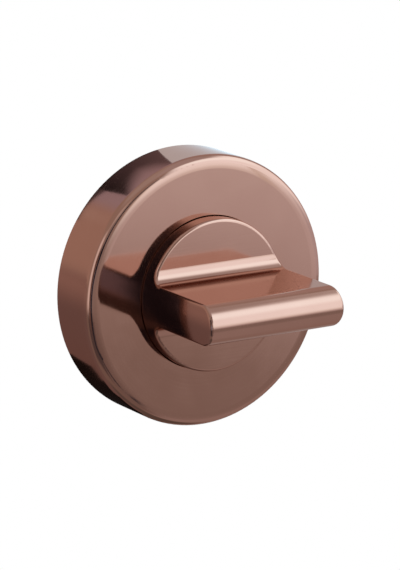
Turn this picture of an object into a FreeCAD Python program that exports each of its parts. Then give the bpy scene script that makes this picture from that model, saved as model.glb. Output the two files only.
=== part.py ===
import FreeCAD, Part
import math
import os

# Bathroom thumb turn on a round concealed-fix rose.
# Every piece is drawn lying on its back: x to the right, y up the door, z out of the door towards the hand.
# It is stood up at the end, so that the door face is the plane y = 0 and the turn points to -y.

# Rose
rose_diameter = 52.0
rose_depth = 11.2
rose_edge_radius = 1.6
face_rolloff_radius = 8.0
face_rolloff_angle = 8.0
cover_wall = 1.2
cover_inner_radius = 0.4
cover_hole_round = 0.1

# Thumb turn
turn_diameter = 29.2
collar_height = 3.2
blade_reach = 23.8
blade_thickness = 7.7
blade_foot_radius = 2.6
turn_edge_radius = 0.6
shank_diameter = 12.0
shank_end_chamfer = 0.4

# Inner rose
hub_headroom = 2.6
hub_wall = 1.8
web_thickness = 2.0
back_pocket_depth = 2.2
rim_wall = 2.0
rib_width = 1.8
rib_drop = 1.6
rib_count = 8
back_recess_depth = 3.6

# Bearing bush
bush_wall = 1.4
bush_flange_width = 1.2
bush_flange_thickness = 1.2

# Quarter-turn stop
turn_angle = 90.0
stop_start_angle = 225.0
stop_pin_diameter = 1.6
stop_pin_grip = 3.0
stop_pin_reach = 2.6
stop_gap = 0.5

# Retaining pieces on the shank
ring_thickness = 1.0
ring_land = 0.8
ring_groove_depth = 0.3
ring_width = 2.0
ring_lug_diameter = 3.0
ring_lug_hole = 1.2
ring_opening_angle = 40.0
washer_thickness = 0.5
washer_width = 3.1
spring_thickness = 0.4
spring_cone_height = 0.6

# Spindle
spindle_width = 5.0
spindle_reach = 32.0
spindle_grip = 11.0
spindle_chamfer = 0.5
grub_diameter = 3.0
grub_sink = 0.3
grub_socket_across_flats = 1.5
grub_socket_depth = 1.2

# Snap ring
snap_wire_width = 1.2
snap_wire_depth = 1.1
snap_proud = 0.45
snap_drop = 2.2
snap_opening_angle = 24.0

# Connecting bolts and wood screw holes
bolt_inset = 7.0
bolt_diameter = 4.0
bolt_neck_diameter = 3.5
bolt_reach = 13.0
bolt_tip_chamfer = 0.6
bolt_head_diameter = 7.2
bolt_head_height = 2.3
bolt_head_bevel = 0.6
bolt_slot_width = 1.1
bolt_slot_length = 4.4
bolt_slot_depth = 1.3
bolt_count = 2
boss_wall = 1.1
wood_screw_inset = 7.4
wood_screw_hole = 3.8
wood_screw_head = 7.0
wood_screw_count = 2

# Clearances
cover_clearance = 0.15
collar_clearance = 0.1
running_clearance = 0.05
press_clearance = 0.02
seat_clearance = 0.03
spindle_clearance = 0.05
groove_clearance = 0.05
washer_clearance = 0.1
recess_clearance = 0.5
snap_clearance = 0.1
bolt_clearance = 0.25
head_clearance = 0.3
slot_clearance = 0.15
milling_overrun = 1.0

# Heights above the door face
cover_under = rose_depth - cover_wall
hub_front = cover_under - hub_headroom
flange_back = hub_front + seat_clearance
flange_front = flange_back + bush_flange_thickness
collar_back = flange_front + seat_clearance
collar_front = rose_depth + collar_height
nose_tip = rose_depth + blade_reach
spring_top = back_recess_depth - seat_clearance
spring_bottom = spring_top - spring_cone_height - spring_thickness
washer_top = spring_bottom - seat_clearance
washer_bottom = washer_top - washer_thickness
ring_top = washer_bottom - seat_clearance
ring_bottom = ring_top - ring_thickness
shank_end = ring_bottom - groove_clearance - ring_land
snap_height = hub_front - snap_drop
web_top = back_pocket_depth + web_thickness
head_top = web_top + bolt_head_height
snap_bottom = snap_height - snap_wire_width / 2
snap_top = snap_height + snap_wire_width / 2

# Radii
rose_radius = rose_diameter / 2
cover_bore = rose_radius - cover_wall
rim_radius = cover_bore - cover_clearance
turn_radius = turn_diameter / 2
shank_radius = shank_diameter / 2
bush_bore = shank_radius + running_clearance
bush_radius = bush_bore + bush_wall
flange_radius = bush_radius + bush_flange_width
stop_radius = flange_radius + stop_gap + stop_pin_diameter / 2
slot_inner = stop_radius - stop_pin_diameter / 2 - slot_clearance
slot_outer = stop_radius + stop_pin_diameter / 2 + slot_clearance
hub_radius = slot_outer + hub_wall
washer_bore = shank_radius + washer_clearance
washer_radius = shank_radius + washer_width
back_recess_radius = washer_radius + recess_clearance
snap_outer = rim_radius + snap_proud
snap_inner = snap_outer - snap_wire_depth
bolt_radius = rose_radius - bolt_inset
wood_screw_radius = rose_radius - wood_screw_inset
head_bore = bolt_head_diameter / 2 + head_clearance

OUT = FreeCAD.Vector(0, 0, 1)
RIGHT = FreeCAD.Vector(1, 0, 0)
UP = FreeCAD.Vector(0, 1, 0)
AXIS = FreeCAD.Vector(0, 0, 0)


def at(x, y, z):
    return FreeCAD.Vector(x, y, z)


def on_circle(radius, degrees, height):
    angle = math.radians(degrees)
    return at(radius * math.cos(angle), radius * math.sin(angle), height)


def disc(radius, bottom, top, centre=AXIS):
    return Part.makeCylinder(radius, top - bottom, centre + OUT * bottom)


def ring(inner, outer, bottom, top):
    return disc(outer, bottom, top).cut(disc(inner, bottom, top))


def path(*steps):
    """Closed outline of points, in which a triple of points stands for an arc through them."""
    edges = []
    here = None
    for step in steps + steps[:1]:
        points = step if isinstance(step, tuple) else (step,)
        if here is not None and here.distanceToPoint(points[0]) > 1e-7:
            edges.append(Part.makeLine(here, points[0]))
        if step is steps[0] and here is not None:
            break
        if len(points) == 3:
            edges.append(Part.Arc(*points).toShape())
        here = points[-1]
    return Part.Face(Part.Wire(edges))


def corner(centre_x, centre_z, radius, start, end):
    """Arc of a turned profile, in the plane of the axis and x, from one angle to the other."""
    angles = (start, (start + end) / 2, end)
    return tuple(
        at(centre_x + radius * math.cos(math.radians(a)), 0, centre_z + radius * math.sin(math.radians(a)))
        for a in angles
    )


def turned(*steps):
    return path(*steps).revolve(AXIS, OUT, 360)


def wedge(radius, bottom, top, start, span):
    """Sector of a disc, for the gap of an open ring."""
    return Part.makeCylinder(radius, top - bottom, OUT * bottom, OUT, span).rotated(AXIS, OUT, start)


def square_bar(width, bottom, top):
    return Part.makeBox(width, width, top - bottom, at(-width / 2, -width / 2, bottom))


def edges_on_radius(shape, radius, above):
    """Edges that lie on the turned outside of a piece, above a height."""
    found = []
    for edge in shape.Edges:
        first, last = edge.ParameterRange
        points = [edge.valueAt(first + (last - first) * share) for share in (0.0, 0.3, 0.6, 1.0)]
        on_outside = all(abs(math.hypot(p.x, p.y) - radius) < 1e-4 for p in points)
        if on_outside and min(p.z for p in points) > above:
            found.append(edge)
    return found


# Rose cover: pressed cup with a rounded front edge, a hole for the collar and a groove for the snap ring.
# Polishing has drawn the face down a little beside the edge: a wide arc that runs into the edge's own.
def make_rose_cover():
    hole = turn_radius + collar_clearance
    edge = rose_edge_radius
    rolloff = face_rolloff_radius
    inner = cover_inner_radius
    lip = cover_hole_round
    tilt = math.radians(face_rolloff_angle)
    join_angle = 90 - face_rolloff_angle
    edge_x = rose_radius - edge
    edge_z = rose_depth - edge - (rolloff - edge) * (1 - math.cos(tilt))
    rolloff_x = edge_x - (rolloff - edge) * math.sin(tilt)
    cup = turned(
        at(cover_bore, 0, 0),
        at(rose_radius, 0, 0),
        corner(edge_x, edge_z, edge, 0, join_angle),
        corner(rolloff_x, rose_depth - rolloff, rolloff, join_angle, 90),
        corner(hole + lip, rose_depth - lip, lip, 90, 180),
        at(hole, 0, cover_under),
        corner(cover_bore - inner, cover_under - inner, inner, 90, 0),
    )
    return cup.cut(snap_groove())


# Thumb turn: a bar milled away on both sides to a blade with a round nose, with its shank turned behind.
def make_thumb_turn():
    half = blade_thickness / 2
    foot = blade_foot_radius
    beyond = turn_radius + milling_overrun
    sag = foot * (1 - math.sqrt(0.5))
    foot_top = collar_front + foot
    nose_centre = nose_tip - half

    def side(y, z):
        return at(-beyond, y, z)

    profile = path(
        side(-beyond, collar_back),
        side(beyond, collar_back),
        side(beyond, collar_front),
        (side(half + foot, collar_front), side(half + sag, collar_front + sag), side(half, foot_top)),
        (side(half, nose_centre), side(0, nose_tip), side(-half, nose_centre)),
        (side(-half, foot_top), side(-half - sag, collar_front + sag), side(-half - foot, collar_front)),
        side(-beyond, collar_front),
    )
    milled = profile.extrude(RIGHT * (2 * beyond))
    head = milled.common(disc(turn_radius, collar_back, nose_tip + milling_overrun))
    head = head.makeFillet(turn_edge_radius, edges_on_radius(head, turn_radius, rose_depth))

    chamfer = shank_end_chamfer
    groove_floor = shank_radius - ring_groove_depth
    shank = turned(
        at(0, 0, shank_end),
        at(shank_radius - chamfer, 0, shank_end),
        at(shank_radius, 0, shank_end + chamfer),
        at(shank_radius, 0, ring_bottom - groove_clearance),
        at(groove_floor, 0, ring_bottom - groove_clearance),
        at(groove_floor, 0, ring_top + groove_clearance),
        at(shank_radius, 0, ring_top + groove_clearance),
        at(shank_radius, 0, collar_back),
        at(0, 0, collar_back),
    )
    turn = head.fuse(shank)
    socket_top = shank_end + spindle_grip + seat_clearance
    turn = turn.cut(square_bar(spindle_width + 2 * spindle_clearance, shank_end, socket_top))
    turn = turn.cut(grub_bar(grub_diameter / 2 + press_clearance, shank_radius))
    pin_seat = on_circle(stop_radius, stop_start_angle, 0)
    pin_top = collar_back + stop_pin_grip + seat_clearance
    turn = turn.cut(disc(stop_pin_diameter / 2 + press_clearance, collar_back, pin_top, pin_seat))
    return turn.removeSplitter()


# Grub screw: headless, across the shank from below, with a hexagon socket, tight on the spindle.
def grub_height():
    return (back_recess_depth + hub_front) / 2


def grub_bar(radius, outer):
    inner = spindle_width / 2 + seat_clearance
    return Part.makeCylinder(radius, outer - inner, at(0, -inner, grub_height()), UP * -1)


def make_grub_screw():
    outer = shank_radius - grub_sink
    across_corners = grub_socket_across_flats / math.cos(math.pi / 6)
    corners = [on_circle(across_corners / 2, 60 * step, 0) for step in range(7)]
    hexagon = Part.Face(Part.makePolygon(corners)).extrude(OUT * grub_socket_depth)
    hexagon.rotate(AXIS, RIGHT, -90)
    hexagon.translate(at(0, -outer, grub_height()))
    return grub_bar(grub_diameter / 2, outer).cut(hexagon)


# Inner rose: die-cast wheel of a web between rim and hub, with ribs, and bosses for bolts and screws.
def make_inner_rose():
    rim_inner = rim_radius - rim_wall
    body = disc(rim_radius, back_pocket_depth, web_top)
    body = body.fuse(ring(rim_inner, rim_radius, 0, hub_front))
    body = body.fuse(disc(hub_radius, 0, hub_front))
    rib = Part.makeBox(rim_inner, rib_width, hub_front - rib_drop, at(0, -rib_width / 2, 0))
    for step in range(rib_count):
        body = body.fuse(rib.rotated(AXIS, OUT, (step + 0.5) * 360 / rib_count))
    bolts = [on_circle(bolt_radius, 90 + step * 360 / bolt_count, 0) for step in range(bolt_count)]
    screws = [on_circle(wood_screw_radius, step * 360 / wood_screw_count, 0) for step in range(wood_screw_count)]
    for place in bolts:
        body = body.fuse(disc(head_bore + boss_wall, 0, head_top, place))
    for place in screws:
        body = body.fuse(disc(wood_screw_head / 2 + boss_wall, 0, head_top, place))
    body = body.common(disc(rim_radius, 0, hub_front)).removeSplitter()

    for place in bolts:
        body = body.cut(disc(bolt_diameter / 2 + bolt_clearance, 0, hub_front, place))
        body = body.cut(disc(head_bore, web_top, cover_under, place))
    sink = (wood_screw_head - wood_screw_hole) / 2
    for place in screws:
        body = body.cut(disc(wood_screw_hole / 2, 0, hub_front, place))
        cone = Part.makeCone(wood_screw_hole / 2, wood_screw_head / 2, sink, place + OUT * (head_top - sink))
        body = body.cut(cone)
        body = body.cut(disc(wood_screw_head / 2, head_top, cover_under, place))
    body = body.cut(disc(bush_radius + press_clearance, 0, hub_front))
    body = body.cut(disc(back_recess_radius, 0, back_recess_depth))
    body = body.cut(stop_slot())
    return body.cut(snap_groove()).removeSplitter()


# Stop slot: an arc in the front of the hub, with round ends, as long as the pin's quarter turn.
def stop_slot():
    floor = collar_back - stop_pin_reach - slot_clearance
    end_radius = stop_pin_diameter / 2 + slot_clearance
    slot = wedge(slot_outer, floor, hub_front, stop_start_angle, turn_angle)
    slot = slot.cut(disc(slot_inner, floor, hub_front))
    for angle in (stop_start_angle, stop_start_angle + turn_angle):
        slot = slot.fuse(disc(end_radius, floor, hub_front, on_circle(stop_radius, angle, 0)))
    return slot


def make_stop_pin():
    place = on_circle(stop_radius, stop_start_angle, 0)
    return disc(stop_pin_diameter / 2, collar_back - stop_pin_reach, collar_back + stop_pin_grip, place)


# Bearing bush: nylon, its flange between the collar and the hub.
def make_bearing_bush():
    return turned(
        at(bush_bore, 0, back_recess_depth),
        at(bush_radius, 0, back_recess_depth),
        at(bush_radius, 0, flange_back),
        at(flange_radius, 0, flange_back),
        at(flange_radius, 0, flange_front),
        at(bush_bore, 0, flange_front),
    )


# Disc spring: a shallow cone, its wide edge on the floor of the recess.
def make_disc_spring():
    return turned(
        at(washer_bore, 0, spring_bottom),
        at(washer_radius, 0, spring_top - spring_thickness),
        at(washer_radius, 0, spring_top),
        at(washer_bore, 0, spring_bottom + spring_thickness),
    )


def make_thrust_washer():
    return ring(washer_bore, washer_radius, washer_bottom, washer_top)


# Retaining ring: an open ring in the groove of the shank, with two eyes for the pliers.
def make_retaining_ring():
    inner = shank_radius - ring_groove_depth + press_clearance
    outer = inner + ring_width
    clip = ring(inner, outer, ring_bottom, ring_top)
    clip = clip.cut(wedge(outer, ring_bottom, ring_top, -ring_opening_angle / 2, ring_opening_angle))
    lug_radius = ring_lug_diameter / 2
    eye_circle = inner + lug_radius
    eye_angle = ring_opening_angle / 2 + math.degrees(lug_radius / eye_circle)
    eyes = [on_circle(eye_circle, angle, 0) for angle in (-eye_angle, eye_angle)]
    for eye in eyes:
        clip = clip.fuse(disc(lug_radius, ring_bottom, ring_top, eye))
    clip = clip.cut(disc(inner, ring_bottom, ring_top))
    for eye in eyes:
        clip = clip.cut(disc(ring_lug_hole / 2, ring_bottom, ring_top, eye))
    return clip.removeSplitter()


# Spindle: square bar with chamfered ends.
def make_spindle():
    bar = square_bar(spindle_width, -spindle_reach, shank_end + spindle_grip)
    ends = [e for e in bar.Edges if abs(e.Vertexes[0].Z - e.Vertexes[1].Z) < 1e-6]
    return bar.makeChamfer(spindle_chamfer, ends)


# Snap ring: open ring of flat wire, half in the rim of the inner rose and half in the cover.
def make_snap_ring():
    wire = ring(snap_inner, snap_outer, snap_bottom, snap_top)
    start = -snap_opening_angle / 2
    return wire.cut(wedge(snap_outer, snap_bottom, snap_top, start, snap_opening_angle))


def snap_groove():
    return ring(
        snap_inner - snap_clearance,
        snap_outer + snap_clearance,
        snap_bottom - snap_clearance,
        snap_top + snap_clearance,
    )


# Connecting bolts: pan heads in their bosses, plain necks in the plate, threads beyond the door face.
def make_connecting_bolts():
    head_bottom = web_top + seat_clearance
    head = bolt_head_diameter / 2
    bevel = bolt_head_bevel
    thread = bolt_diameter / 2
    neck = bolt_neck_diameter / 2
    tip = -bolt_reach
    bolt = turned(
        at(0, 0, tip),
        at(thread - bolt_tip_chamfer, 0, tip),
        at(thread, 0, tip + bolt_tip_chamfer),
        at(thread, 0, -seat_clearance),
        at(neck, 0, -seat_clearance),
        at(neck, 0, head_bottom),
        at(head, 0, head_bottom),
        at(head, 0, head_top - bevel),
        at(head - bevel, 0, head_top),
        at(0, 0, head_top),
    )
    slot = Part.makeBox(
        bolt_slot_length,
        bolt_slot_width,
        bolt_slot_depth,
        at(-bolt_slot_length / 2, -bolt_slot_width / 2, head_top - bolt_slot_depth),
    )
    for angle in (0, 90):
        bolt = bolt.cut(slot.rotated(AXIS, OUT, angle))
    bolts = []
    for step in range(bolt_count):
        bolts.append(bolt.translated(on_circle(bolt_radius, 90 + step * 360 / bolt_count, 0)))
    return Part.makeCompound(bolts)


pieces = {
    "rose_cover": make_rose_cover(),
    "thumb_turn": make_thumb_turn(),
    "inner_rose": make_inner_rose(),
    "bearing_bush": make_bearing_bush(),
    "stop_pin": make_stop_pin(),
    "disc_spring": make_disc_spring(),
    "thrust_washer": make_thrust_washer(),
    "retaining_ring": make_retaining_ring(),
    "spindle": make_spindle(),
    "spindle_grub_screw": make_grub_screw(),
    "snap_ring": make_snap_ring(),
    "connecting_bolts": make_connecting_bolts(),
}

os.makedirs("parts", exist_ok=True)
for name, shape in pieces.items():
    shape.rotate(AXIS, RIGHT, 90)
    shape.exportStep("parts/" + name + ".step")
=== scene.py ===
import math

import bmesh
import bpy
from mathutils import Euler, Matrix, Vector


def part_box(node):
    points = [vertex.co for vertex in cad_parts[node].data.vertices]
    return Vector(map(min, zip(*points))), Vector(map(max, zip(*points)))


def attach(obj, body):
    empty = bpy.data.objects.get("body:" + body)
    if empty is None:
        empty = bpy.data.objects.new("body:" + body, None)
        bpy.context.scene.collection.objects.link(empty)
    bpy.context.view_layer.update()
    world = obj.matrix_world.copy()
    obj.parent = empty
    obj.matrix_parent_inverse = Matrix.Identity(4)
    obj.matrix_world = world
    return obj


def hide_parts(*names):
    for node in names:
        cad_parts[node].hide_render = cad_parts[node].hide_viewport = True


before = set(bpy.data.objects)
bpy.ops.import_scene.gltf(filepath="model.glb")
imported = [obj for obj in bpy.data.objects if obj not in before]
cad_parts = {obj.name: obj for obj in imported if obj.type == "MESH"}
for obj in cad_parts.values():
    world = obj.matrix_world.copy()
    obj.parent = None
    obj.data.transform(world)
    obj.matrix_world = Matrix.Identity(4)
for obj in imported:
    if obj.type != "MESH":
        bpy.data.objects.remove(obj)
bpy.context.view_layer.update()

# Inner rose: the base plate that is fixed to the door and carries every other piece.
# It is die cast in one shot from zinc alloy and left as cast, with ribs, bosses and a hub for the bush.
MM_PER_METRE = 1000
MIX_A, MIX_B, MIX_COLOUR = 6, 7, 2       # sockets of a node that mixes colours: both inputs and the result


def linear(hex_colour):
    """An sRGB hex colour as linear red, green, blue and alpha."""
    shares = [int(hex_colour[i:i + 2], 16) / 255 for i in (1, 3, 5)]
    return [s / 12.92 if s <= 0.04045 else ((s + 0.055) / 1.055) ** 2.4 for s in shares] + [1.0]


def add(tree, kind, inputs=None, **settings):
    """Adds a shader node with its settings. Each input is a value, or the output of another node."""
    node = tree.nodes.new("ShaderNode" + kind)
    for name, value in settings.items():
        setattr(node, name, value)
    for socket, value in (inputs or {}).items():
        if isinstance(value, bpy.types.NodeSocket):
            tree.links.new(value, node.inputs[socket])
        else:
            node.inputs[socket].default_value = value
    return node


def new_material(name):
    """An empty material and its node tree."""
    material = bpy.data.materials.new(name)
    material.use_nodes = True
    material.node_tree.nodes.clear()
    return material, material.node_tree


def dress(node, material):
    """Gives a piece its material."""
    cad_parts[node].material_slots[0].material = material


# Die-cast zinc, as cast: a dull grey metal with cloudy flow marks and a fine sandy skin.
# The skin's grain is about 0.1 mm and is drawn at 0.35 mm, so that it shows.
zinc_grain_mm = 0.35
zinc_grain_depth_mm = 0.04
zinc_flow_mm = 6.0
die_cast_zinc, tree = new_material("die_cast_zinc_as_cast")
place = add(tree, "TexCoord").outputs["Object"]
flow = add(tree, "TexNoise", {
    "Vector": place,
    "Scale": MM_PER_METRE / zinc_flow_mm,
    "Detail": 4.0,
    "Distortion": 1.2,
})
grain = add(tree, "TexNoise", {"Vector": place, "Scale": MM_PER_METRE / zinc_grain_mm, "Detail": 2.0})
zinc_tone = add(tree, "Mix", {
    "Factor": flow.outputs["Fac"],
    MIX_A: linear("#8F9297"),
    MIX_B: linear("#C3C5C8"),
}, data_type="RGBA")
zinc_gloss = add(tree, "MapRange", {"Value": flow.outputs["Fac"], "To Min": 0.36, "To Max": 0.58})
skin = add(tree, "Bump", {
    "Height": grain.outputs["Fac"],
    "Strength": 0.35,
    "Distance": zinc_grain_depth_mm / MM_PER_METRE,
})
zinc_surface = add(tree, "BsdfPrincipled", {
    "Base Color": zinc_tone.outputs[MIX_COLOUR],
    "Metallic": 1.0,
    "Roughness": zinc_gloss.outputs["Result"],
    "Normal": skin.outputs["Normal"],
})
add(tree, "OutputMaterial", {"Surface": zinc_surface.outputs["BSDF"]})
dress("inner_rose", die_cast_zinc)

# Bearing bush: the flanged sleeve pressed into the hub, in which the turn's shank runs.
# It is injection moulded from natural nylon, so that it needs no grease.

# Moulded nylon: milky off-white, softly glossy, with faint cloudy mottling.
nylon_mottle_mm = 1.5
nylon_ior = 1.53
moulded_nylon, tree = new_material("moulded_natural_nylon")
place = add(tree, "TexCoord").outputs["Object"]
mottle = add(tree, "TexNoise", {"Vector": place, "Scale": MM_PER_METRE / nylon_mottle_mm, "Detail": 3.0})
nylon_tone = add(tree, "Mix", {
    "Factor": mottle.outputs["Fac"],
    MIX_A: linear("#E3DCCB"),
    MIX_B: linear("#F1ECE0"),
}, data_type="RGBA")
nylon_gloss = add(tree, "MapRange", {"Value": mottle.outputs["Fac"], "To Min": 0.36, "To Max": 0.48})
nylon_surface = add(tree, "BsdfPrincipled", {
    "Base Color": nylon_tone.outputs[MIX_COLOUR],
    "Roughness": nylon_gloss.outputs["Result"],
    "IOR": nylon_ior,
})
add(tree, "OutputMaterial", {"Surface": nylon_surface.outputs["BSDF"]})
dress("bearing_bush", moulded_nylon)

# Thumb turn: one bar, turned to a collar and a shank, and milled on both sides to a blade with a round nose.
# It is polished on a wheel along the blade and plated with copper, and its shank goes through the bush.

# Polished copper plate: a pinkish-brown mirror with hair-fine polishing lines and faint smears.
# The lines are about 0.05 mm apart and are drawn at 0.3 mm, so that they show.
polish_line_mm = 0.3
polish_line_run = (0.03, 1.0, 1.0)
straight_line_depth_mm = 0.008
smear_mm = 9.0


def polished_copper(name, round_the_axis, line_depth_mm):
    """Copper plate polished in straight lines along x, or in circles about the turn's axis."""
    material, tree = new_material(name)
    place = add(tree, "TexCoord").outputs["Object"]
    if round_the_axis:
        across = add(tree, "VectorMath", {0: place, 1: (1.0, 0.0, 1.0)}, operation="MULTIPLY")
        radius = add(tree, "VectorMath", {0: across.outputs["Vector"]}, operation="LENGTH")
        depth = add(tree, "SeparateXYZ", {"Vector": place})
        lay = add(tree, "CombineXYZ", {"X": radius.outputs["Value"], "Y": depth.outputs["Y"]})
    else:
        lay = add(tree, "VectorMath", {0: place, 1: polish_line_run}, operation="MULTIPLY")
    lines = add(tree, "TexNoise", {
        "Vector": lay.outputs["Vector"],
        "Scale": MM_PER_METRE / polish_line_mm,
        "Detail": 3.0,
    })
    smears = add(tree, "TexNoise", {
        "Vector": place,
        "Scale": MM_PER_METRE / smear_mm,
        "Detail": 5.0,
        "Distortion": 0.6,
    })
    tone = add(tree, "Mix", {
        "Factor": smears.outputs["Fac"],
        MIX_A: linear("#AB8A7E"),
        MIX_B: linear("#B39286"),
    }, data_type="RGBA")
    worn = add(tree, "Math", {0: lines.outputs["Fac"], 1: smears.outputs["Fac"]}, operation="MULTIPLY")
    gloss = add(tree, "MapRange", {
        "Value": worn.outputs["Value"],
        "From Min": 0.1,
        "From Max": 0.45,
        "To Min": 0.07,
        "To Max": 0.14,
    })
    scratch = add(tree, "Bump", {
        "Height": lines.outputs["Fac"],
        "Strength": 0.2,
        "Distance": line_depth_mm / MM_PER_METRE,
    })
    surface = add(tree, "BsdfPrincipled", {
        "Base Color": tone.outputs[MIX_COLOUR],
        "Metallic": 1.0,
        "Roughness": gloss.outputs["Result"],
        "Specular Tint": linear("#E0CBC4"),
        "Normal": scratch.outputs["Normal"],
    })
    add(tree, "OutputMaterial", {"Surface": surface.outputs["BSDF"]})
    return material


dress("thumb_turn", polished_copper("polished_copper_plate_straight", False, straight_line_depth_mm))

# Stop pin: a dowel pressed into the back of the collar, which runs in the quarter-turn slot of the hub.
# It is hardened steel, ground round between centres and cropped.

# Ground steel: bright grey, with fine rings round the pin from the grinding wheel.
# The rings are about 0.02 mm apart and are drawn at 0.12 mm, so that they show.
grinding_ring_mm = 0.12
grinding_ring_run = (0.02, 1.0, 0.02)
ground_steel, tree = new_material("ground_hardened_steel")
place = add(tree, "TexCoord").outputs["Object"]
along = add(tree, "VectorMath", {0: place, 1: grinding_ring_run}, operation="MULTIPLY")
grinding = add(tree, "TexNoise", {
    "Vector": along.outputs["Vector"],
    "Scale": MM_PER_METRE / grinding_ring_mm,
    "Detail": 2.0,
})
steel_tone = add(tree, "Mix", {
    "Factor": grinding.outputs["Fac"],
    MIX_A: linear("#A5A4A1"),
    MIX_B: linear("#C2C1BD"),
}, data_type="RGBA")
steel_gloss = add(tree, "MapRange", {"Value": grinding.outputs["Fac"], "To Min": 0.14, "To Max": 0.30})
steel_surface = add(tree, "BsdfPrincipled", {
    "Base Color": steel_tone.outputs[MIX_COLOUR],
    "Metallic": 1.0,
    "Roughness": steel_gloss.outputs["Result"],
})
add(tree, "OutputMaterial", {"Surface": steel_surface.outputs["BSDF"]})
dress("stop_pin", ground_steel)

# Disc spring, retaining ring and snap ring: the springs that hold the turn in the hub, and the cover on.
# They are stamped or wound from spring steel strip, hardened, phosphated and oiled.

# Phosphated steel: a dark blue-grey, half matt, with fine rolling streaks under a crystalline bloom.
# The crystals are about 0.02 mm across and are drawn at 0.25 mm, so that they show.
phosphate_crystal_mm = 0.25
phosphate_crystal_depth_mm = 0.02
rolling_streak_mm = 0.5
rolling_streak_run = (0.06, 1.0, 1.0)
phosphated_steel, tree = new_material("phosphated_spring_steel")
place = add(tree, "TexCoord").outputs["Object"]
stretched = add(tree, "VectorMath", {0: place, 1: rolling_streak_run}, operation="MULTIPLY")
streaks = add(tree, "TexNoise", {
    "Vector": stretched.outputs["Vector"],
    "Scale": MM_PER_METRE / rolling_streak_mm,
    "Detail": 3.0,
})
crystals = add(tree, "TexVoronoi", {"Vector": place, "Scale": MM_PER_METRE / phosphate_crystal_mm})
spring_tone = add(tree, "Mix", {
    "Factor": streaks.outputs["Fac"],
    MIX_A: linear("#4B4F56"),
    MIX_B: linear("#6A6C70"),
}, data_type="RGBA")
spring_gloss = add(tree, "MapRange", {
    "Value": crystals.outputs["Distance"],
    "To Min": 0.32,
    "To Max": 0.46,
})
bloom = add(tree, "Bump", {
    "Height": crystals.outputs["Distance"],
    "Strength": 0.2,
    "Distance": phosphate_crystal_depth_mm / MM_PER_METRE,
})
spring_surface = add(tree, "BsdfPrincipled", {
    "Base Color": spring_tone.outputs[MIX_COLOUR],
    "Metallic": 1.0,
    "Roughness": spring_gloss.outputs["Result"],
    "Normal": bloom.outputs["Normal"],
})
add(tree, "OutputMaterial", {"Surface": spring_surface.outputs["BSDF"]})
for spring in ("disc_spring", "retaining_ring", "snap_ring"):
    dress(spring, phosphated_steel)

# Thrust washer and spindle: a punched washer under the spring, and the square bar that drives the bolt.
# Both are mild steel, barrel zinc plated and passivated.

# Passivated zinc: silvery, slightly cloudy, with faint bluish and straw-coloured tints.
# The plating's grain is about 0.05 mm and is drawn at 0.3 mm, so that it shows.
passivate_tint_mm = 4.0
plating_grain_mm = 0.3
plating_grain_depth_mm = 0.02
zinc_plate, tree = new_material("passivated_zinc_plate")
place = add(tree, "TexCoord").outputs["Object"]
tints = add(tree, "TexNoise", {
    "Vector": place,
    "Scale": MM_PER_METRE / passivate_tint_mm,
    "Detail": 4.0,
    "Distortion": 0.8,
})
grain = add(tree, "TexNoise", {"Vector": place, "Scale": MM_PER_METRE / plating_grain_mm, "Detail": 2.0})
plate_tone = add(tree, "Mix", {
    "Factor": tints.outputs["Fac"],
    MIX_A: linear("#BFC8D3"),
    MIX_B: linear("#D6CFBE"),
}, data_type="RGBA")
plate_gloss = add(tree, "MapRange", {"Value": grain.outputs["Fac"], "To Min": 0.20, "To Max": 0.36})
plate_skin = add(tree, "Bump", {
    "Height": grain.outputs["Fac"],
    "Strength": 0.15,
    "Distance": plating_grain_depth_mm / MM_PER_METRE,
})
plate_surface = add(tree, "BsdfPrincipled", {
    "Base Color": plate_tone.outputs[MIX_COLOUR],
    "Metallic": 1.0,
    "Roughness": plate_gloss.outputs["Result"],
    "Normal": plate_skin.outputs["Normal"],
})
add(tree, "OutputMaterial", {"Surface": plate_surface.outputs["BSDF"]})
for plated in ("thrust_washer", "spindle"):
    dress(plated, zinc_plate)

# Grub screw: the headless socket screw in the shank that holds the spindle.
# It is hardened steel, blackened and oiled.

# Black oxide: nearly black with a brown cast, half matt, rubbed greyer in cloudy spots.
rubbed_spot_mm = 0.8
black_oxide, tree = new_material("black_oxide_steel")
place = add(tree, "TexCoord").outputs["Object"]
rubbed = add(tree, "TexNoise", {"Vector": place, "Scale": MM_PER_METRE / rubbed_spot_mm, "Detail": 4.0})
oxide_tone = add(tree, "Mix", {
    "Factor": rubbed.outputs["Fac"],
    MIX_A: linear("#2B2A2A"),
    MIX_B: linear("#4A4846"),
}, data_type="RGBA")
oxide_gloss = add(tree, "MapRange", {"Value": rubbed.outputs["Fac"], "To Min": 0.5, "To Max": 0.36})
oxide_surface = add(tree, "BsdfPrincipled", {
    "Base Color": oxide_tone.outputs[MIX_COLOUR],
    "Metallic": 1.0,
    "Roughness": oxide_gloss.outputs["Result"],
})
add(tree, "OutputMaterial", {"Surface": oxide_surface.outputs["BSDF"]})
dress("spindle_grub_screw", black_oxide)

# Connecting bolts: two M4 machine screws through the plate and the door, into the rose on the other side.
# They are cold headed with a cross slot, thread rolled, and zinc plated like the spindle.
# The solids end in plain cylinders, so the thread is drawn here, inside the same outline.
low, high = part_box("connecting_bolts")
head_radius = (high.x - low.x) / 2
head_height = 2.27 / MM_PER_METRE
head_bevel = 0.6 / MM_PER_METRE
head_front = low.y
head_back = head_front + head_height
bolt_offset = high.z - head_radius
thread_tip = high.y
thread_start = 0.03 / MM_PER_METRE
thread_pitch = 0.7 / MM_PER_METRE
thread_depth = 0.6134 * thread_pitch     # the depth of a metric thread for its pitch
thread_crest = 2.0 / MM_PER_METRE
thread_root = thread_crest - thread_depth
neck_radius = 1.75 / MM_PER_METRE
tip_chamfer = 0.6 / MM_PER_METRE
crest_flat, root_flat = 1 / 8, 1 / 4
rings_per_pitch = 8
bolt_sides = 48
sharp_from_degrees = 35


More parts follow.
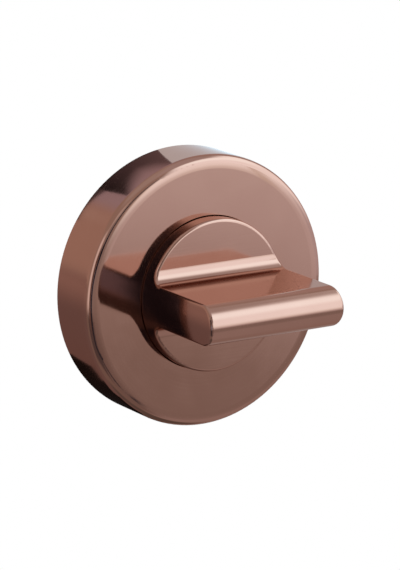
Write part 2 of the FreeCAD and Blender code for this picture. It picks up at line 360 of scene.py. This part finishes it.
def thread_radius(angle, y):
    """Radius of the rolled thread, which runs out into the neck and is chamfered at the tip."""
    phase = (y / thread_pitch + angle / (2 * math.pi)) % 1
    rise = (abs(2 * phase - 1) - root_flat) / (1 - crest_flat - root_flat)
    radius = thread_root + (thread_crest - thread_root) * min(max(rise, 0), 1)
    full = min((y - thread_start) / thread_pitch, 1)
    radius = neck_radius + (radius - neck_radius) * full
    return min(radius, thread_crest - tip_chamfer + thread_tip - y)


def stacked_faces(ring_total, sides):
    """Faces of a body of rings stacked on one another, closed by a flat face at each end."""
    last = ring_total * sides - 1
    faces = [tuple(range(sides)), tuple(range(last, last - sides, -1))]
    for first in range(0, last + 1 - sides, sides):
        for side in range(sides):
            beside = (side + 1) % sides
            faces.append((first + side, first + sides + side, first + sides + beside, first + beside))
    return faces


def new_object(name, points, faces):
    """A mesh with these points and faces, as an object in the scene."""
    mesh = bpy.data.meshes.new(name)
    mesh.from_pydata(points, [], faces)
    thing = bpy.data.objects.new(name, mesh)
    bpy.context.scene.collection.objects.link(thing)
    return thing


angles = [2 * math.pi * side / bolt_sides for side in range(bolt_sides)]
thread_steps = round((thread_tip - thread_start) / thread_pitch * rings_per_pitch)
rings = []
for step in range(thread_steps + 1):
    y = thread_tip + (thread_start - thread_tip) * step / thread_steps
    rings.append((y, [thread_radius(angle, y) for angle in angles]))
for y, radius in (
    (head_back, neck_radius),
    (head_back, head_radius),
    (head_front + head_bevel, head_radius),
    (head_front, head_radius - head_bevel),
):
    rings.append((y, [radius] * bolt_sides))
points = [(r * math.cos(a), y, r * math.sin(a)) for y, radii in rings for r, a in zip(radii, angles)]
blank = new_object("bolt_blank", points, stacked_faces(len(rings), bolt_sides))

slot_half_length = 2.2 / MM_PER_METRE
slot_half_width = 0.55 / MM_PER_METRE
slot_depth = 1.3 / MM_PER_METRE
slot_taper = 0.8
quarter = [
    (slot_half_length, slot_half_width),
    (slot_half_width, slot_half_width),
    (slot_half_width, slot_half_length),
]
cross = []
for turn in range(4):
    cross += quarter
    quarter = [(-z, x) for x, z in quarter]
points = [(x, head_front - slot_depth, z) for x, z in cross]
points += [(x * slot_taper, head_front + slot_depth, z * slot_taper) for x, z in cross]
punch = new_object("slot_punch", points, stacked_faces(2, len(cross)))
for tool in (blank, punch):
    solid = bmesh.new()
    solid.from_mesh(tool.data)
    bmesh.ops.recalc_face_normals(solid, faces=solid.faces)
    solid.to_mesh(tool.data)
    solid.free()
cut = blank.modifiers.new("slot", "BOOLEAN")
cut.object = punch
cut.solver = "EXACT"
slotted = bpy.data.meshes.new_from_object(blank.evaluated_get(bpy.context.evaluated_depsgraph_get()))
bpy.data.objects.remove(blank)
bpy.data.objects.remove(punch)

pair = bmesh.new()
for offset in (bolt_offset, -2 * bolt_offset):
    slotted.transform(Matrix.Translation((0.0, 0.0, offset)))
    pair.from_mesh(slotted)
bolts = new_object("threaded_bolts", [], [])
pair.to_mesh(bolts.data)
pair.free()
bolts.data.shade_smooth()
bolts.data.set_sharp_from_angle(angle=math.radians(sharp_from_degrees))
bolts.data.materials.append(zinc_plate)
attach(bolts, "rose")
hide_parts("connecting_bolts")

# Rose cover: a cup pressed from sheet, pushed over the inner rose until the snap ring clicks into its groove.
# It is polished while it spins, so its lines run round the axis, and plated like the turn.
round_line_depth_mm = 0.004
dress("rose_cover", polished_copper("polished_copper_plate_round", True, round_line_depth_mm))

# Studio: a plain pale floor one metre below the object, and white surroundings.
# To the camera, and in reflections and glass, the floor glows a little, so that it looks nearly white.
floor_drop = 1.0
floor_reach = 1.5
floor_glow = 0.55
floor_corners = ((-1, -1), (1, -1), (1, 1), (-1, 1))
points = [(x * floor_reach, y * floor_reach, -floor_drop) for x, y in floor_corners]
floor = new_object("floor", points, [(0, 1, 2, 3)])


def background_share(tree, level):
    """The level for rays from the camera and for those that a reflection or glass sends on, or else 0."""
    rays = add(tree, "LightPath").outputs
    seen = add(tree, "Math", {0: rays["Is Camera Ray"], 1: rays["Is Glossy Ray"]}, operation="MAXIMUM")
    seen = add(tree, "Math", {
        0: seen.outputs["Value"],
        1: rays["Is Transmission Ray"],
    }, operation="MAXIMUM")
    return add(tree, "Math", {0: seen.outputs["Value"], 1: level}, operation="MULTIPLY").outputs["Value"]


paper, tree = new_material("white_paper")
sheet = add(tree, "BsdfDiffuse", {"Color": linear("#F4F3F1")})
glow = add(tree, "Emission", {
    "Color": linear("#FFFFFF"),
    "Strength": background_share(tree, floor_glow),
})
both = add(tree, "AddShader", {0: sheet.outputs["BSDF"], 1: glow.outputs["Emission"]})
add(tree, "OutputMaterial", {"Surface": both.outputs["Shader"]})
floor.data.materials.append(paper)

ambient_level = 0.5
world = bpy.data.worlds.new("white_surroundings")
bpy.context.scene.world = world
world.use_nodes = True
tree = world.node_tree
tree.nodes.clear()
ambient = add(tree, "Background", {"Color": linear("#FFFFFF"), "Strength": ambient_level})
white = add(tree, "Background", {"Color": linear("#FFFFFF"), "Strength": 1.0})
chosen = add(tree, "MixShader", {
    0: background_share(tree, 1.0),
    1: ambient.outputs["Background"],
    2: white.outputs["Background"],
})
add(tree, "OutputWorld", {"Surface": chosen.outputs["Shader"]})

# Light tent: the cloth and panels round the object, which only its metal shows.
# Azimuth is measured from straight in front towards the right, and elevation from level, in degrees.
tent_radius = 0.9
tent_step = 2
tent_cloth = (0.55, 0.43, 0.37)
panels = [
    # azimuth from and to, elevation from and to, soft edge of each, light
    (-180, 180, 58, 90, 1, 14, (0.66, 0.58, 0.54)),           # ceiling
    (-5, 150, 57, 90, 30, 14, (0.70, 0.62, 0.62)),            # ceiling over the softbox
    (115, 160, 20, 50, 12, 12, (0.70, 0.58, 0.56)),           # wall behind the softbox
    (-180, 180, -90, -15, 1, 6, (0.33, 0.25, 0.22)),          # table
    (-180, 180, -90, -64, 1, 10, (0.19, 0.155, 0.14)),        # under the object
    (-185, -95, -90, 0, 10, 4, (0.28, 0.195, 0.185)),         # table on the left
    (-185, -95, -11, 2, 12, 14, (0.47, 0.32, 0.285)),         # wall on the left
    (-185, -95, 2, 36, 12, 8, (0.64, 0.46, 0.39)),            # wall on the left, higher
    (150, 199, 27, 46, 8, 6, (0.58, 0.50, 0.58)),             # wall behind
    (158, 202, -10, 24, 8, 8, (1.25, 1.25, 1.25)),            # softbox behind
    (128, 160, -4, 22, 10, 10, (0.87, 1.02, 1.14)),           # white surroundings behind
    (112, 148, -56, -18, 7, 7, (0.60, 0.60, 0.62)),           # light on the table behind
    (18, 112, -60, -15, 24, 5, (0.43, 0.35, 0.325)),          # table on the right
    (20, 112, -60, -29, 20, 9, (0.54, 0.44, 0.42)),           # table on the right, nearer
    (-68, -8, -46, -16, 14, 5, (0.15, 0.12, 0.12)),           # shade on the table
    (-8, 24, -50, -15, 14, 4, (0.31, 0.24, 0.22)),            # edge of that shade
    (-42, 18, -16, 6, 14, 6, (0.46, 0.39, 0.37)),             # opening in front
    (-44, -22, -15, 6, 12, 6, (0.46, 0.52, 0.71)),            # opening in front, left part
    (-14, 16, 18, 38, 14, 12, (0.46, 0.39, 0.37)),            # opening in front, higher
    (-42, -8, 8, 36, 10, 6, (0.42, 0.36, 0.34)),              # opening in front, left corner
    (-78, -52, -14, 33, 10, 12, (1.25, 1.15, 1.12)),          # white board on the left
    (-54, -24, 34, 48, 12, 10, (0.85, 0.76, 0.72)),           # white board on the left, bent to the front
    (22, 60, -13.1, 8, 12, 4.5, (0.95, 0.88, 0.91)),          # glow under the softbox
    (34.4, 60, -15.0, 0, 5, 4.5, (0.95, 0.88, 0.91)),         # glow under the softbox, lower
    (52, 130, -13.8, 8, 16, 4.5, (0.88, 0.84, 0.91)),         # glow under the softbox, right
    (27, 38, -9.0, 6, 6, 5, (1.27, 1.27, 1.24)),              # foot of the softbox
    (9, 50, -3, 21, 16, 12, (1.62, 1.72, 1.70)),              # softbox, left flap
    (17, 50, -3, 51.6, 14, 15, (1.88, 2.10, 2.22)),           # softbox
    (45, 105, 4, 51.6, 20, 16, (1.88, 2.10, 2.22)),           # softbox, right part
    (24, 100, 28, 48.6, 20, 16, (2.08, 2.50, 2.66)),          # softbox, hot part
]


def cover(value, low, high, soft):
    """How far a panel covers a direction: 1 inside its edges, falling smoothly to 0 over the soft edge."""
    inside = min(value - low, high - value) / soft + 0.5
    inside = min(max(inside, 0.0), 1.0)
    return inside * inside * (3 - 2 * inside)


def tent_light(azimuth, elevation):
    """The tent's light in a direction, with each panel laid over those before it."""
    light = tent_cloth
    for left, right, low, high, soft_side, soft_height, panel in panels:
        share = cover(elevation, low, high, soft_height)
        if right - left < 360:
            share *= cover((azimuth - left + soft_side) % 360 + left - soft_side, left, right, soft_side)
        light = [old + (new - old) * share for old, new in zip(light, panel)]
    return light


def lit_board(name, points, faces, lights):
    """A stage board that only reflections show. Each point has its light, and how far it hides others."""
    board = new_object(name, points, faces)
    paint = board.data.color_attributes.new("light", "FLOAT_COLOR", "POINT")
    for index, light in enumerate(lights):
        paint.data[index].color = light
    board.visible_camera = False
    board.visible_diffuse = False
    board.visible_transmission = False
    board.visible_volume_scatter = False
    board.visible_shadow = False
    finish, tree = new_material(name)
    painted = add(tree, "VertexColor", layer_name="light")
    glow = add(tree, "Emission", {"Color": painted.outputs["Color"]})
    clear = add(tree, "BsdfTransparent")
    shown = add(tree, "MixShader", {
        0: painted.outputs["Alpha"],
        1: clear.outputs["BSDF"],
        2: glow.outputs["Emission"],
    })
    add(tree, "OutputMaterial", {"Surface": shown.outputs["Shader"]})
    finish.cycles.emission_sampling = "NONE"
    board.data.materials.append(finish)


points = []
lights = []
for elevation in range(-90, 91, tent_step):
    for azimuth in range(-180, 180, tent_step):
        turn, rise = math.radians(azimuth), math.radians(elevation)
        level = math.cos(rise)
        direction = Vector((math.sin(turn) * level, -math.cos(turn) * level, math.sin(rise)))
        points.append(direction * tent_radius)
        lights.append((*tent_light(azimuth, elevation), 1.0))
around = 360 // tent_step
cells = []
for row in range(180 // tent_step):
    for column in range(around):
        beside = (column + 1) % around
        cells.append((row * around + column, row * around + beside,
                      (row + 1) * around + beside, (row + 1) * around + column))
lit_board("light_tent", points, cells, lights)

# Boards close to the rose, which its polish shows as dark and light patches: five behind, four in front.
# Each stands upright, turned by some degrees from the door's plane, and some millimetres from the axis.
# A row has the left end across and up, the right end across and up, and how far each hides what is behind it.
boards = {
    # turn, distance, light at the left and at the right, rows
    "dark_board_above": (180, 12, (0.028, 0.024, 0.026), (0.12, 0.095, 0.11), [
        (-19.5, 26, -8, 26, 1, 1),
        (-19.5, 33.2, -8, 33, 1, 1),
        (-19.5, 35.5, -8, 36.2, 0, 0),
    ]),
    "dark_board_above_right": (180, 12, (0.12, 0.095, 0.11), (0.21, 0.175, 0.20), [
        (-8, 26, 2, 26, 1, 1),
        (-8, 33, 2, 36, 1, 1),
        (-8, 36.2, 2, 39, 0, 0),
    ]),
    "dark_board_above_left": (180, 12, (0.10, 0.08, 0.09), (0.10, 0.08, 0.09), [
        (-19.5, 28.8, -17, 24, 1, 1),
        (-22.8, 25.2, -20, 21, 1, 1),
        (-27.6, 19.6, -25, 16, 1, 1),
    ]),
    "white_board_above": (180, 12, (1.0, 1.3, 1.5), (1.0, 1.3, 1.5), [
        (2, 20, 40, 20, 1, 1),
        (2, 38.5, 40, 38.5, 1, 1),
    ]),
    "black_board_below": (180, 12, (0.017, 0.014, 0.014), (0.017, 0.014, 0.014), [
        (-38, -105, -9, -105, 0, 0),
        (-30, -75, -9, -75, 1, 1),
        (-24, -50, -6, -50, 1, 1),
        (-19, -36, 30, -36, 1, 1),
        (-20, -28.5, 30, -28.5, 1, 1),
        (-22.5, -27, 30, -27, 1, 1),
        (-24.6, -25, 30, -25, 1, 1),
        (-25.2, -19, 30, -19, 1, 1),
    ]),
    "dim_board_right": (0, 50, (1.10, 1.05, 0.95), (1.10, 1.05, 0.95), [
        (38.5, 31, 47, 31, 0, 0),
        (38.5, 26, 47, 26, 1, 0),
        (38.5, 13, 47, 13, 1, 0),
        (38.5, 9, 47, 9, 0, 0),
    ]),
    "dark_board_left": (-35, 70, (0.028, 0.032, 0.052), (0.028, 0.032, 0.052), [
        (58, 72, 62, 64, 0, 0),
        (41, 65.5, 45, 57, 0.7, 0.7),
        (19.6, 55.3, 24.4, 47.7, 1, 1),
        (9.7, 46.1, 16.3, 39.9, 1, 1),
        (-0.2, 34.3, 8.2, 28.7, 1, 1),
        (-10, 22, 6, 18, 1, 1),
        (-13, 0, -4, 0, 1, 1),
        (-12, -20, -1, -20, 1, 1),
        (-8, -38, 3, -35.5, 1, 1),
        (16, -45, 24, -43, 1, 1),
        (42, -60, 46, -56.5, 1, 1),
        (80, -70, 84, -63, 1, 1),
        (96, -72, 96, -65, 0, 0),
    ]),
    "dim_board_left": (-35, 70, (0.28, 0.17, 0.13), (0.18, 0.11, 0.09), [
        (-28, 30, -9, 30, 0, 0),
        (-30, 22, -11.5, 22, 1, 1),
        (-30, 0, -14.5, 0, 1, 1),
        (-30, -20, -13.5, -20, 1, 1),
        (-24, -34, -12, -34, 0, 0),
    ]),
    "dark_board_left_edge": (-35, 70, (0.028, 0.032, 0.052), (0.042, 0.044, 0.055), [
        (6, 18, 10, 18, 1, 0),
        (-4, 0, 1, 0, 1, 0),
        (-1, -20, 4, -20, 1, 0),
        (3, -30, 8, -30, 1, 0),
    ]),
}
for name, (turn, away, left_light, right_light, rows) in boards.items():
    outward = Vector((math.sin(math.radians(turn)), -math.cos(math.radians(turn)), 0.0))
    across = Vector((abs(math.cos(math.radians(turn))), math.sin(math.radians(turn)), 0.0))
    points = []
    lights = []
    for left, left_up, right, right_up, left_hides, right_hides in rows:
        points.append((outward * away + across * left + Vector((0.0, 0.0, left_up))) / MM_PER_METRE)
        points.append((outward * away + across * right + Vector((0.0, 0.0, right_up))) / MM_PER_METRE)
        lights.append((*left_light, left_hides))
        lights.append((*right_light, right_hides))
    faces = [(2 * row, 2 * row + 1, 2 * row + 3, 2 * row + 2) for row in range(len(rows) - 1)]
    lit_board(name, points, faces, lights)

# Lamps: one large soft key from the upper right and a weaker fill and back lamp, for the dull surfaces.
# The polish doesn't show them, because the tent's softbox stands for them there.
lamps = {
    # place and size in metres, power in watts
    "key_lamp": ((0.45, -0.55, 0.55), 0.6, 4.0),
    "fill_lamp": ((-0.7, -0.35, 0.3), 0.8, 2.0),
    "back_lamp": ((0.1, 0.8, 0.4), 0.8, 3.0),
}
for name, (spot, size, power) in lamps.items():
    lamp = bpy.data.lights.new(name, "AREA")
    lamp.size = size
    lamp.energy = power
    holder = bpy.data.objects.new(name, lamp)
    bpy.context.scene.collection.objects.link(holder)
    holder.location = spot
    holder.rotation_euler = Vector(spot).to_track_quat("Z", "Y").to_euler()
    holder.visible_glossy = False

# Camera: a long lens from the left and a little above, fitted to the photograph's frame of 400 by 570.
# Its angles are in degrees, and its distance and the point that it aims at, beside the origin, in metres.
camera_azimuth = -32.58
camera_elevation = 13.97
camera_roll = 0.3
camera_distance = 0.6
aim_right = 0.00456
aim_down = 0.00098
focal_pixels = 3160.9
frame_height = 570
camera = bpy.data.cameras.new("camera")
camera.sensor_width = 36.0
camera.lens = focal_pixels * camera.sensor_width / frame_height
viewer = bpy.data.objects.new("camera", camera)
bpy.context.scene.collection.objects.link(viewer)
tilt = Euler((math.radians(90 - camera_elevation), 0.0, math.radians(camera_azimuth)))
facing = tilt.to_matrix() @ Matrix.Rotation(math.radians(camera_roll), 3, "Z")
stand = facing @ Vector((aim_right, -aim_down, camera_distance))
viewer.matrix_world = Matrix.Translation(stand) @ facing.to_4x4()
bpy.context.scene.camera = viewer

bpy.context.scene.view_settings.view_transform = "Standard"
